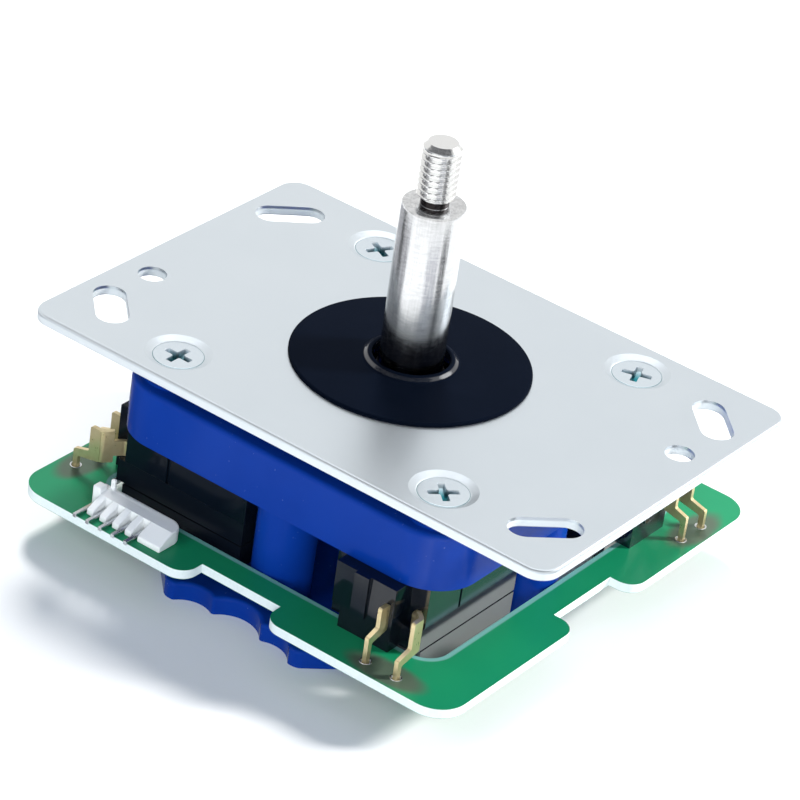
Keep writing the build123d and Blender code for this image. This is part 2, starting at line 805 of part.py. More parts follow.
# Restrictor gate: plate with scalloped finger tabs, tongues for the housing's legs, square guide
gate_half = abs(clip_top - pivot_level) * tan(side_tilt) + actuator_radius / cos(side_tilt) + tilt_room
guide_half = gate_half + guide_wall
tab_edge = board_half - tab_inset
tongue_radius = pillar_tip_radius + slide_gap + tongue_wall
middle_scallop = tab_edge - middle_scallop_depth + middle_scallop_radius
side_scallop = tab_edge - side_scallop_depth + side_scallop_radius
scallop_end = side_scallop_offset + side_scallop_radius
tab_width = 2 * (scallop_end + tab_horn + tab_flank)
with BuildPart() as restrictor_gate:
    with BuildSketch(Plane.XY.offset(gate_bottom)) as gate_plan:
        Rectangle(tab_width, 2 * tab_edge)
        chamfer(gate_plan.vertices(), tab_flank)
        for way in (-1, 1):
            with Locations((0, way * middle_scallop)):
                Circle(middle_scallop_radius, mode=Mode.SUBTRACT)
            for offset in (-side_scallop_offset, side_scallop_offset):
                with Locations((offset, way * side_scallop)):
                    Circle(side_scallop_radius, mode=Mode.SUBTRACT)
        wave_crests = gate_plan.vertices().filter_by(
            lambda crest: abs(crest.Y) > tab_edge - side_scallop_depth and abs(crest.X) < scallop_end
        )
        fillet(wave_crests, scallop_blend)
        fillet(gate_plan.vertices().filter_by(lambda corner: abs(corner.X) > scallop_end), tab_corner_radius)
        Circle(gate_disc_radius)
        with Locations((pillar_offset, 0), (-pillar_offset, 0)):
            Circle(tongue_radius)
        Rectangle(2 * pillar_offset, 2 * tongue_radius)
    extrude(amount=gate_thickness)
    fillet(restrictor_gate.faces().sort_by(Axis.Z)[-1].edges(), tab_edge_radius)
    with BuildSketch(Plane.XY.offset(gate_top)):
        Rectangle(2 * guide_half, 2 * guide_half)
    extrude(amount=guide_rise)
    with BuildSketch(Plane.XY.offset(gate_bottom)):
        RectangleRounded(2 * gate_half, 2 * gate_half, guide_corner_radius)
        with PolarLocations(pillar_offset, len(sides)):
            Circle(pillar_tip_radius + slide_gap)
    extrude(amount=gate_thickness + guide_rise, mode=Mode.SUBTRACT)
restrictor_gate.part.label = "restrictor_gate"
export_step(restrictor_gate.part, "parts/restrictor_gate.step")
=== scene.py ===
import json
import math

import bmesh
import bpy
import numpy as np
from mathutils import Matrix, Vector


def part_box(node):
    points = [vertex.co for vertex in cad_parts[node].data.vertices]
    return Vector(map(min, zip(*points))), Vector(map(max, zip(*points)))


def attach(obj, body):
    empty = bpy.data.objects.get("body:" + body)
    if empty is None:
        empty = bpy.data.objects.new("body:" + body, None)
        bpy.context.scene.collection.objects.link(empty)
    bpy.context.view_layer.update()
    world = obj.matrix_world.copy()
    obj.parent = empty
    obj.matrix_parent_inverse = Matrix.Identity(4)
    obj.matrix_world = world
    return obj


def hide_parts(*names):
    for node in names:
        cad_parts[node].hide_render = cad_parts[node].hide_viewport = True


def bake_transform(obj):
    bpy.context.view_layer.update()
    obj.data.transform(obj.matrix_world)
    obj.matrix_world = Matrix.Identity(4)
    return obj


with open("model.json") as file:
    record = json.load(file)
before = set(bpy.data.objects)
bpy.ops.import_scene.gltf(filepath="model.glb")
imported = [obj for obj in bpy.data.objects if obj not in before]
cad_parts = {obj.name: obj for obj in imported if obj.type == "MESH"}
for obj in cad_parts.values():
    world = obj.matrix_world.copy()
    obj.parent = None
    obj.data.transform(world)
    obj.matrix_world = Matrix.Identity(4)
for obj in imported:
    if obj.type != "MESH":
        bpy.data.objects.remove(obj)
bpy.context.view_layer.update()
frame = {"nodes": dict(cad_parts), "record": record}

# Arcade joystick lever: finishes and fine surfaces around the solids.
# Shapes and patterns are given in millimetres and go to metres through MM.
MM = 0.001
nodes = frame["nodes"]
slot_of = {row["node"]: row["material_slot"] for row in frame["record"]["subparts"]}


def box_mm(node):
    """Lowest and highest corner of a solid, in millimetres."""
    low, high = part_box(node)
    return np.array(low) / MM, np.array(high) / MM


# Levels and places read from the solids
board_low, board_high = box_mm("circuit_board")
screws_low, screws_high = box_mm("plate_screws")
shaft_low, shaft_high = box_mm("lever_shaft")
spring_low, spring_high = box_mm("return_spring")
switch_low, switch_high = box_mm("switch_case_right")
legs_low, legs_high = box_mm("switch_terminals_right")
clip_low, clip_high = box_mm("retaining_clip")
washer_high = box_mm("dust_washer")[1]
ball_top = box_mm("pivot_ball")[1][2]
housing_top = box_mm("housing")[1][2]
floor_level = box_mm("restrictor_gate")[0][2]
shaft_foot, shaft_top, shaft_radius = shaft_low[2], shaft_high[2], shaft_high[0]
washer_radius, washer_top = washer_high[0], washer_high[2]

# Lever shaft, its neck and its thread. The middle point of the rounded chamfer is given in shares of the
# chamfer, the thread's crest and flank in shares of half a pitch, and the painted dark reflection of the
# washer in levels.
SHAFT_SHOULDER = 27.45
SHAFT_CHAMFER = 0.4
CHAMFER_MIDDLE_DROP = 0.15
CHAMFER_MIDDLE_INSET = 0.45
SHAFT_COLUMNS = 96
ROD_RADIUS = 3.0
ROD_CHAMFER = 0.5
GROOVE_RADIUS = 2.2
NECK_RADIUS = 2.2
NECK_LENGTH = 1.0
NECK_TOP = SHAFT_SHOULDER + NECK_LENGTH
THREAD_RADIUS = 3.0
THREAD_PITCH = 1.0
THREAD_DEPTH = 0.58
THREAD_CREST = 0.14
THREAD_FLANK = 0.66
THREAD_CHAMFER = 0.7
THREAD_LEAD_IN = 0.5
THREAD_ROWS = 150
REFLECTION_FOOT = 2.0
REFLECTION_TOP = 16.0

# Mounting plate: depths under its top where the hole's painted shade and the duller walls begin and are full,
# rises over its bottom where those walls end, and the ends of the painted sheen along the plate's diagonal
PLATE_THICKNESS = 1.6
PLATE_HOLE_RADIUS = 11.0
HOLE_FADE = 1.0
HOLE_SHADE_DEPTHS = (0.05, 0.3)
WALL_DEPTHS = (0.4, 0.6)
WALL_RISES = (0.05, 0.15)
PLATE_PAINTED_SHEEN = (-70.0, 75.0)

# Dust washer: the collar's shine comes in between two rises over the disc and goes out between two drops
# under the top
WASHER_THICKNESS = 0.6
WASHER_RIM = 0.35
WASHER_BORE = 6.0
WASHER_COLUMNS = 160
COLLAR_LIP = 0.3
COLLAR_SLOPE = 1.4
COLLAR_ROWS = 24
COLLAR_SHINE_RISES = (0.15, 0.28)
COLLAR_SHINE_DROPS = (0.27, 0.12)
EDGE_ROWS = 8

# Countersunk screws: the head, its cross recess and how far each is turned, by the signs of its place. The
# middle point of the head's edge is a share of the edge, and the edge's value in the attribute paints shade
# on the head's edge.
SCREW_HEAD_RADIUS = 4.0
SCREW_HEAD_HEIGHT = 2.1
SCREW_HEAD_EDGE = 0.22
HEAD_EDGE_MIDDLE = 0.3
HEAD_EDGE_TAPER = 0.02
HEAD_EDGE_SHADE = 0.8
HEAD_RINGS = (2.9, 3.3, 3.7)
SCREW_RADIUS = 1.8
SCREW_TIP = 0.4
SCREW_COLUMNS = 176
SCREW_SHARP_ANGLE = 32.0
RECESS_REACH = 2.25
RECESS_ARM = 0.95
RECESS_FLARE = 0.5
RECESS_FLARE_REACH = 0.8
RECESS_DEPTH = 1.5
RECESS_FALL = 0.55
RECESS_WALL = 0.16
RECESS_FIELD = 2.6
RECESS_ROWS = 54
SCREW_TURNS = {(-1, -1): 0.0, (1, -1): 47.0, (1, 1): 20.0, (-1, 1): 62.0}

# Solder rings round the terminals' feet, pressed to a share of their height
RING_RADIUS = 0.84
RING_WIRE_RADIUS = 0.11
RING_PRESS = 0.5
RING_ROWS = 13
RING_COLUMNS = 40
TERMINAL_SPACING = 5.6
TERMINAL_FOOT_INSET = 0.45
TERMINAL_END_INSET = 0.35

# Circuit board: its opening with a bare margin, the grey patches round the terminals' feet, and how near its
# faces the white of the cut edge fades
OPENING_HALF = 31.8
OPENING_CORNER = 4.0
PATCH_SHIFT = 1.0
PATCH_INSET = 3.0
PATCH_HALF_LENGTH = 8.0
PATCH_HALF_WIDTH = 3.4
MARGIN_WIDTHS = (0.6, 0.95)
CUT_EDGE_INSETS = (0.06, 0.03)

# Housing: radii of the painted shade round the pivot, depths of the painted shade under its top, and how far
# along the diagonal of its right front corner the shine begins and is full
PIVOT_SHADE_RADII = (9.5, 11.0)
TOP_SHADE_DEPTHS = (0.4, 1.2)
CORNER_SHINE = (57.5, 61.0)

# Return spring
SPRING_WIRE_RADIUS = 0.45
SPRING_TURNS = 3.0
SPRING_ROWS = 84
SPRING_COLUMNS = 14

# Switches: the right one's polish, from its inner side outwards and near its outer side
POLISH_FADE = 0.5
POLISH_INSETS = (0.9, 0.3)

# Rounded edges of the switches, their terminals and the connector
SIDES = ("right", "back", "left", "front")
SWITCH_EDGES = {"switch_case": 0.18, "switch_cover": 0.15, "switch_terminals": 0.1}
CONNECTOR_EDGES = {"connector_shell": 0.22, "connector_pins": 0.08}
EDGE_SEGMENTS = 2
EDGE_ANGLE = 40.0
FLAT_ANGLE = 1.0

# Meshes: angle past which an edge stays crisp, and distances in metres under which points are one
SHARP_ANGLE = 35.0
GRID_MERGE = 1e-8
SOLID_MERGE = 1e-7

# Camera solved from the plate's corners, slots and screws in the photograph
CAMERA_PLACE = Vector((279.35, -434.90, 301.37)) * MM
CAMERA_AZIMUTH = 32.7926
CAMERA_ELEVATION = 30.8153
CAMERA_ROLL = 8.5909
CAMERA_LENS = 177.73
CAMERA_SENSOR = 36.0
CAMERA_NEAR = 0.01
CAMERA_FAR = 20.0

# Studio, in metres: the table, and the cards that only reflections show. A card's blue is a share of its
# grey. More glossy bounces than ONE_REFLECTION mean the reflection of a reflection.
TABLE_REACH = 4.0
STREAK_NEAR = 0.056
STREAK_FAR = 0.55
STREAK_LIFT = 0.0005
STREAK_RISE = 0.85
SKY_DISTANCE = 1.5
CARD_BLUE = 1.05
ONE_REFLECTION = 1.5
WARM_WHITE = (1.0, 0.985, 0.96)


class Wire:
    """A shader socket that takes part in arithmetic: each operation adds a Math node to its tree.

    A Wire without a socket is the start of a material, and its node method adds any other node."""

    def __init__(self, tree, socket=None):
        self.tree = tree
        self.socket = socket

    def node(self, kind, settings=None, inputs=None, output=0):
        """Adds a node: its settings first, then the values or links of its sockets; gives one output."""
        made = self.tree.nodes.new(kind)
        for name, value in (settings or {}).items():
            setattr(made, name, value)
        for name, value in (inputs or {}).items():
            if isinstance(value, Wire):
                self.tree.links.new(value.socket, made.inputs[name])
            else:
                made.inputs[name].default_value = value
        return Wire(self.tree, made.outputs[output] if made.outputs else None)

    def math(self, operation, *terms):
        """A Math node of this socket and further terms."""
        return self.node("ShaderNodeMath", {"operation": operation}, dict(enumerate((self, *terms))))

    def __add__(self, other):
        return self.math("ADD", other)

    __radd__ = __add__

    def __mul__(self, other):
        return self.math("MULTIPLY", other)

    __rmul__ = __mul__

    def __sub__(self, other):
        return self.math("SUBTRACT", other)

    def __rsub__(self, other):
        return self.node("ShaderNodeMath", {"operation": "SUBTRACT"}, {0: other, 1: self})

    def __truediv__(self, other):
        return self.math("DIVIDE", other)

    def __rtruediv__(self, other):
        return self.node("ShaderNodeMath", {"operation": "DIVIDE"}, {0: other, 1: self})

    def __pow__(self, other):
        return self.math("POWER", other)

    def __neg__(self):
        return self.math("MULTIPLY", -1.0)

    def __abs__(self):
        return self.math("ABSOLUTE")

    def most(self, other):
        """The larger of this socket and another."""
        return self.math("MAXIMUM", other)

    def rise(self, start, end):
        """Smooth step: 0 at start, 1 at end."""
        settings = {"interpolation_type": "SMOOTHSTEP"}
        inputs = {"Value": self, "From Min": start, "From Max": end}
        return self.node("ShaderNodeMapRange", settings, inputs)

    def blend(self, first, second):
        """Colour that goes from first to second as this socket goes from 0 to 1."""
        return self.node(
            "ShaderNodeMix",
            {"data_type": "RGBA"},
            {"Factor": self, 6: colour_of(first), 7: colour_of(second)},
            2,
        )


def colour_of(value):
    """A value for a colour's socket: a triple gets full alpha, anything else stays as it is."""
    return (*value, 1.0) if isinstance(value, tuple) else value


class Finish:
    """A material under construction: its tree, Object coordinates in millimetres, and its shader."""

    def __init__(self, name):
        self.material = bpy.data.materials.new(name)
        self.material.use_nodes = True
        tree = self.material.node_tree
        tree.nodes.clear()
        self.start = Wire(tree)
        metres = self.start.node("ShaderNodeTexCoord", output="Object")
        self.place = self.start.node(
            "ShaderNodeVectorMath", {"operation": "SCALE"}, {0: metres, "Scale": 1.0 / MM}
        )

    def axes(self):
        """The three coordinates as separate values."""
        return [self.start.node("ShaderNodeSeparateXYZ", {}, {0: self.place}, axis) for axis in range(3)]

    def noise(self, size, detail=2.0, roughness=0.5, stretch=(1.0, 1.0, 1.0), centre=(0.0, 0.0, 0.0)):
        """Soft noise from 0 to 1 whose grains are about size millimetres, stretched along the axes."""
        spread = tuple(1.0 / (size * along) for along in stretch)
        grid = self.start.node(
            "ShaderNodeMapping", {}, {"Vector": self.place, "Location": centre, "Scale": spread}
        )
        return self.start.node(
            "ShaderNodeTexNoise",
            {},
            {"Vector": grid, "Scale": 1.0, "Detail": detail, "Roughness": roughness},
        )

    def bump(self, height, strength, depth):
        """Normal from a height value; depth is its full range in millimetres."""
        return self.start.node(
            "ShaderNodeBump", {}, {"Height": height, "Strength": strength, "Distance": depth * MM}
        )

    def shade(self, **sockets):
        """Ends the material in a Principled shader with these sockets, named with _ for each space."""
        named = {name.replace("_", " "): colour_of(value) for name, value in sockets.items()}
        shader = self.start.node("ShaderNodeBsdfPrincipled", {}, named)
        self.start.node("ShaderNodeOutputMaterial", {}, {"Surface": shader})
        return self.material


def plated_steel():
    """Zinc plate: pale blue-grey metal, cloudy, with a very fine rolled grain and a few faint scuffs. A
    painted sheen lightens it towards its left back corner.

    Its sheared and pressed walls, below the rolled top edge, are paler and duller. The wall of the shaft's
    hole is painted dark as shade."""
    finish = Finish("plated_steel")
    dull, bright, scuffed = (0.62, 0.68, 0.725), (0.70, 0.75, 0.785), (0.5, 0.54, 0.57)
    sheared, shaded = (0.76, 0.80, 0.82), (0.03, 0.03, 0.03)
    cloud = finish.noise(size=14.0, detail=3.0, roughness=0.55)
    grain = finish.noise(size=0.35, roughness=0.6, stretch=(6.0, 1.0, 1.0))
    rubbed = finish.noise(
        size=0.5, detail=3.0, roughness=0.7, stretch=(1.0, 9.0, 1.0), centre=(3.0, 7.0, 0.0)
    )
    scuff = rubbed.rise(0.70, 0.76)
    x, y, z = finish.axes()
    # Painted sheen: the plate's colour lightens towards its left back corner
    painted_sheen = (y - x).rise(*PLATE_PAINTED_SHEEN)
    from_axis = (x * x + y * y) ** 0.5
    shade_start, shade_full = HOLE_SHADE_DEPTHS
    wall_start, wall_full = WALL_DEPTHS
    # Painted shade on the wall of the shaft's hole, under the washer
    hole_shade = 1.0 - from_axis.rise(PLATE_HOLE_RADIUS, PLATE_HOLE_RADIUS + HOLE_FADE)
    hole_shade = hole_shade * (1.0 - z.rise(-shade_full, -shade_start))
    above_bottom = z.rise(*(rise - PLATE_THICKNESS for rise in WALL_RISES))
    wall = above_bottom * (1.0 - z.rise(-wall_full, -wall_start)) * (1.0 - hole_shade)
    colour = (cloud * 0.5 + grain * 0.15 + painted_sheen * 0.35).blend(dull, bright)
    colour = (scuff * 0.1).blend(colour, scuffed)
    colour = wall.blend(colour, sheared)
    return finish.shade(
        Base_Color=hole_shade.blend(colour, shaded),
        Metallic=1.0 - wall * 0.55,
        Roughness=0.3 + cloud * 0.08 + grain * 0.06 + scuff * 0.05 + wall * 0.3,
        Normal=finish.bump(grain, strength=0.1, depth=0.01),
    )


def screw_zinc():
    """Bright zinc with painted dark teal shade in the recess and on the head's edge, both read from the
    mesh's recess attribute.
    """
    finish = Finish("screw_zinc")
    dull, bright, teal_shade = (0.63, 0.71, 0.77), (0.74, 0.80, 0.84), (0.02, 0.17, 0.20)
    recess = finish.start.node("ShaderNodeAttribute", {"attribute_name": "recess"}, output="Fac")
    grain = finish.noise(size=0.5, detail=3.0, roughness=0.6)
    # Painted shade: dark teal that deepens with the recess and covers the head's edge
    return finish.shade(
        Base_Color=recess.rise(0.1, 0.9).blend(grain.blend(dull, bright), teal_shade),
        Metallic=1.0,
        Roughness=0.26 + grain * 0.12,
        Normal=finish.bump(grain, strength=0.12, depth=0.02),
    )


def washer_black():
    """Black moulded nylon: blue-black satin with a fine pebbled grain and a shiny slope on its collar."""
    finish = Finish("washer_black")
    dark, pale = (0.0018, 0.0035, 0.008), (0.003, 0.005, 0.011)
    pebble = finish.noise(size=0.45, detail=3.0, roughness=0.6)
    cloud = finish.noise(size=7.0)
    _, _, z = finish.axes()
    slope = z.rise(*(WASHER_THICKNESS + rise for rise in COLLAR_SHINE_RISES))
    lip = z.rise(*(washer_top - drop for drop in COLLAR_SHINE_DROPS))
    return finish.shade(
        Base_Color=cloud.blend(dark, pale),
        Roughness=0.4 + pebble * 0.1,
        Specular_IOR_Level=0.008,
        Coat_Weight=slope * (1.0 - lip),
        Coat_Roughness=0.14,
        Coat_IOR=1.8,
        Normal=finish.bump(pebble, strength=0.25, depth=0.04),
    )


def shaft_chrome():
    """Nickel plate over ground steel: bright, with hair-fine lines along the shaft and fainter ones round it.

    A painted dark reflection of the black washer darkens it towards the washer, painted shade darkens the
    neck under the thread, and a painted highlight makes the thread brighter."""
    finish = Finish("shaft_chrome")
    dull, bright, thread_highlight = (0.50, 0.505, 0.51), (0.74, 0.745, 0.75), (0.78, 0.78, 0.77)
    reflected_black, neck_shade_colour = (0.0, 0.0, 0.0), (0.05, 0.045, 0.045)
    _, _, z = finish.axes()
    # Painted dark reflection of the washer low on the shaft, painted shade in the neck, painted highlight on
    # the thread
    washer_reflection = 1.0 - z.rise(REFLECTION_FOOT, REFLECTION_TOP)
    neck_shade = z.rise(SHAFT_SHOULDER, SHAFT_SHOULDER + 0.1) * (1.0 - z.rise(NECK_TOP - 0.05, NECK_TOP + 0.25))
    thread = z.rise(NECK_TOP + 0.1, NECK_TOP + 0.4)
    ground = finish.noise(size=0.3, detail=3.0, roughness=0.7, stretch=(1.0, 1.0, 20.0)).rise(0.3, 0.7)
    turned = finish.noise(size=0.42, detail=3.0, roughness=0.65, stretch=(4.0, 4.0, 0.9)).rise(0.34, 0.66)
    steel = (ground * 0.55 + turned * 0.45).blend(dull, bright)
    steel = thread.blend(steel, thread_highlight)
    steel = (washer_reflection * 0.7).blend(steel, reflected_black)
    return finish.shade(
        Base_Color=neck_shade.blend(steel, neck_shade_colour),
        Metallic=1.0,
        Roughness=0.12 + ground * 0.08 + turned * 0.06,
        Normal=finish.bump(ground * 0.6 + turned * 0.4, strength=0.16, depth=0.02),
    )


def housing_blue():
    """Blue glossy moulding with a few dust specks, rubbed shiny at its right front corner, with painted shade
    under the plate and round the pivot."""
    finish = Finish("housing_blue")
    dark, pale, dusty = (0.001, 0.027, 0.225), (0.004, 0.038, 0.28), (0.30, 0.36, 0.62)
    shade_colour = (0.004, 0.004, 0.006)
    x, y, z = finish.axes()
    cloud = finish.noise(size=9.0)
    flow = finish.noise(size=2.2, detail=3.0, roughness=0.6, stretch=(1.0, 1.0, 4.0))
    speck = finish.noise(size=0.55, stretch=(1.0, 1.0, 1.6)).rise(0.72, 0.78)
    # Painted shade: near black round the pivot and in a band under the plate
    pivot_shade = 1.0 - ((x * x + y * y) ** 0.5).rise(*PIVOT_SHADE_RADII)
    shallow, deep = TOP_SHADE_DEPTHS
    painted_shade = pivot_shade.most(z.rise(housing_top - deep, housing_top - shallow) * 0.9)
    corner = (x - y).rise(*CORNER_SHINE)
    plastic = (speck * 0.22).blend(cloud.blend(dark, pale), dusty)
    return finish.shade(
        Base_Color=painted_shade.blend(plastic, shade_colour),
        Roughness=0.12 + cloud * 0.06 + flow * 0.05,
        Specular_IOR_Level=0.07,
        Coat_Weight=corner * 0.8,
        Coat_Roughness=0.12,
        Normal=finish.bump(flow, strength=0.1, depth=0.05),
    )


def moulded(name, dark, pale, roughness, level):
    """Moulded plastic: two near colours in soft clouds, a faint grain, and gloss of the given level."""
    finish = Finish(name)
    cloud = finish.noise(size=9.0)
    grain = finish.noise(size=0.7, detail=3.0, roughness=0.6)
    return finish.shade(
        Base_Color=cloud.blend(dark, pale),
        Roughness=roughness + cloud * 0.08 + grain * 0.05,
        Specular_IOR_Level=level,
        Normal=finish.bump(grain, strength=0.08, depth=0.02),
    )


def switch_plastic(name, dark, pale, roughness):
    """Black switch moulding: satin, with a polish on the right switch that is brightest on its outer side."""
    finish = Finish(name)
    x, _, _ = finish.axes()
    cloud = finish.noise(size=9.0)
    right = x.rise(switch_low[0] - POLISH_FADE, switch_low[0])
    outer = x.rise(*(switch_high[0] - inset for inset in POLISH_INSETS))
    return finish.shade(
        Base_Color=cloud.blend(dark, pale),
        Roughness=roughness + cloud * 0.08,
        Specular_IOR_Level=0.15,
        Coat_Weight=right * 0.2 + outer * 0.8,
        Coat_Roughness=0.1,
        Coat_IOR=2.0,
    )


def board_green():
    """Circuit board: green mask over glass laminate, white cut edges, a bare pale margin along the opening
    and dull grey patches round the terminals' feet.

    A patch is an ellipse round each switch's feet with a cloudy edge. The margin follows the distance from
    the opening, which is a square with rounded corners."""
    finish = Finish("board_green")
    deep, fresh = (0.005, 0.210, 0.095), (0.012, 0.260, 0.108)
    greyed, bare = (0.085, 0.085, 0.07), (0.22, 0.45, 0.46)
    milky, white = (0.66, 0.74, 0.73), (0.80, 0.86, 0.85)
    x, y, z = finish.axes()
    weave = finish.noise(size=0.5, roughness=0.6)
    cloud = finish.noise(size=11.0)
    feet = (legs_low[0] + legs_high[0]) / 2 + PATCH_SHIFT
    reach = board_high[0] - PATCH_INSET
    patch = None
    for along, across in ((x, -y), (y, x), (-x, y), (-y, -x)):
        lengthwise = (along - feet) / PATCH_HALF_LENGTH
        crosswise = (across - reach) / PATCH_HALF_WIDTH
        near = 1.0 - (lengthwise ** 2.0 + crosswise ** 2.0)
        patch = near if patch is None else patch.most(near)
    patch = (patch + (cloud - 0.5) * 0.9).rise(0.0, 0.7)
    straight = OPENING_HALF - OPENING_CORNER
    past_x, past_y = [(abs(axis) - straight).most(0.0) for axis in (x, y)]
    from_opening = (past_x * past_x + past_y * past_y) ** 0.5 - OPENING_CORNER
    margin = 1.0 - from_opening.rise(*MARGIN_WIDTHS)
    face = (patch * 0.85).blend(cloud.blend(deep, fresh), greyed)
    face = (margin * 0.7).blend(face, bare)
    middle = (board_low[2] + board_high[2]) / 2
    half = (board_high[2] - board_low[2]) / 2
    edge = 1.0 - abs(z - middle).rise(*(half - inset for inset in CUT_EDGE_INSETS))
    return finish.shade(
        Base_Color=edge.blend(face, weave.blend(milky, white)),
        Roughness=0.3 + edge * 0.3 + cloud * 0.08,
        Specular_IOR_Level=0.25,
        Normal=finish.bump(weave, strength=0.12, depth=0.02),
    )


def terminal_brass():
    """Pale brass strip, lightly tarnished, with a fine drawn grain."""
    finish = Finish("terminal_brass")
    tarnished, clean = (0.60, 0.46, 0.22), (0.80, 0.69, 0.43)
    tarnish = finish.noise(size=1.6, detail=3.0, roughness=0.6)
    drawn = finish.noise(size=0.2, stretch=(1.0, 1.0, 8.0))
    return finish.shade(
        Base_Color=tarnish.blend(tarnished, clean),
        Metallic=0.8,
        Roughness=0.2 + tarnish * 0.14 + drawn * 0.06,
        Normal=finish.bump(drawn, strength=0.15, depth=0.02),
    )


def bare_metal(name, dark, pale, roughness):
    """Plain bright metal with a soft mottled sheen."""
    finish = Finish(name)
    mottle = finish.noise(size=0.8, detail=3.0, roughness=0.6)
    return finish.shade(
        Base_Color=mottle.blend(dark, pale),
        Metallic=1.0,
        Roughness=roughness + mottle * 0.1,
        Normal=finish.bump(mottle, strength=0.1, depth=0.02),
    )


finishes = {
    "plated_steel": plated_steel(),
    "screw_zinc": screw_zinc(),
    "washer_black": washer_black(),
    "shaft_chrome": shaft_chrome(),
    "pivot_nylon": moulded("pivot_nylon", (0.006, 0.006, 0.008), (0.012, 0.012, 0.014), 0.3, 0.1),
    "spring_steel": bare_metal("spring_steel", (0.42, 0.43, 0.45), (0.56, 0.57, 0.58), 0.24),
    "actuator_black": moulded("actuator_black", (0.007, 0.007, 0.009), (0.013, 0.013, 0.016), 0.32, 0.2),
    "housing_blue": housing_blue(),
    "board_green": board_green(),
    "switch_black": switch_plastic("switch_black", (0.002, 0.004, 0.008), (0.004, 0.007, 0.012), 0.10),
    "switch_grey": switch_plastic("switch_grey", (0.003, 0.005, 0.009), (0.006, 0.009, 0.014), 0.14),
    "arm_steel": bare_metal("arm_steel", (0.5, 0.51, 0.52), (0.66, 0.67, 0.68), 0.22),
    "plunger_ivory": moulded("plunger_ivory", (0.68, 0.64, 0.54), (0.76, 0.72, 0.62), 0.34, 0.5),
    "terminal_brass": terminal_brass(),
    "connector_ivory": moulded("connector_ivory", (0.82, 0.83, 0.82), (0.88, 0.88, 0.87), 0.42, 0.45),
    "pin_tin": bare_metal("pin_tin", (0.60, 0.62, 0.64), (0.74, 0.75, 0.76), 0.2),
}


def dress(piece, slot):
    """Gives a piece the finish of a material slot."""
    piece.data.materials.clear()
    piece.data.materials.append(finishes[slot])


def add_piece(piece, body, slot, replaced):
    """Puts a piece in the scene with its finish, its body and the solids that it stands for."""
    bpy.context.scene.collection.objects.link(piece)
    dress(piece, slot)
    if body:
        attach(piece, body)
    if replaced:
        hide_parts(*replaced)
    return piece


def grid_faces(rows, columns):
    """Quads of a grid of points whose columns close round: corners of cell (i, j) counted row by row."""
    i, j = np.meshgrid(np.arange(rows - 1), np.arange(columns), indexing="ij")
    k = (j + 1) % columns
    corners = (i * columns + j, i * columns + k, (i + 1) * columns + k, (i + 1) * columns + j)
    return np.stack(corners, axis=-1).reshape(-1, 4)


def piece_from_grids(name, grids, body, slot, replaced=(), sharp=SHARP_ANGLE, attribute=None):
    """One piece from grids of points (rows, columns, 3) in millimetres, each closed round its columns.

    Points that meet at poles are merged, and edges sharper than the given angle stay crisp. An attribute is
    its name and, for each grid, an array of values at the points."""
    points, faces, marks, count = [], [], [], 0
    for index, grid in enumerate(grids):
        rows, columns = grid.shape[:2]
        points.append(grid.reshape(-1, 3) * MM)
        faces.append(grid_faces(rows, columns) + count)
        if attribute:
            marks.append(attribute[1][index].reshape(-1))
        count += rows * columns
    mesh = bpy.data.meshes.new(name)
    mesh.from_pydata(np.concatenate(points), [], np.concatenate(faces))
    if attribute:
        mesh.attributes.new(attribute[0], "FLOAT", "POINT").data.foreach_set("value", np.concatenate(marks))
    shape = bmesh.new()
    shape.from_mesh(mesh)
    bmesh.ops.remove_doubles(shape, verts=shape.verts, dist=GRID_MERGE)
    bmesh.ops.recalc_face_normals(shape, faces=shape.faces)
    shape.to_mesh(mesh)
    shape.free()
    mesh.polygons.foreach_set("use_smooth", np.ones(len(mesh.polygons), bool))
    mesh.set_sharp_from_angle(angle=math.radians(sharp))
    return add_piece(bpy.data.objects.new(name, mesh), body, slot, replaced)


def circle(count):
    """Angles of points spread evenly round a circle."""
    return np.linspace(0.0, 2.0 * np.pi, count, endpoint=False)


def smooth(share):
    """Smooth step of a share from 0 to 1: three times its square less twice its cube."""
    return share * share * (3.0 - 2.0 * share)


def turned_grid(heights, radii, columns):
    """Surface of revolution: point = (r cos a, r sin a, z), with r as one column or as a full grid."""
    angle = circle(columns)
    radius = radii if np.ndim(radii) == 2 else radii[:, None]
    level = np.broadcast_to(heights[:, None], (len(heights), columns))
    return np.stack((radius * np.cos(angle), radius * np.sin(angle), level), axis=-1)


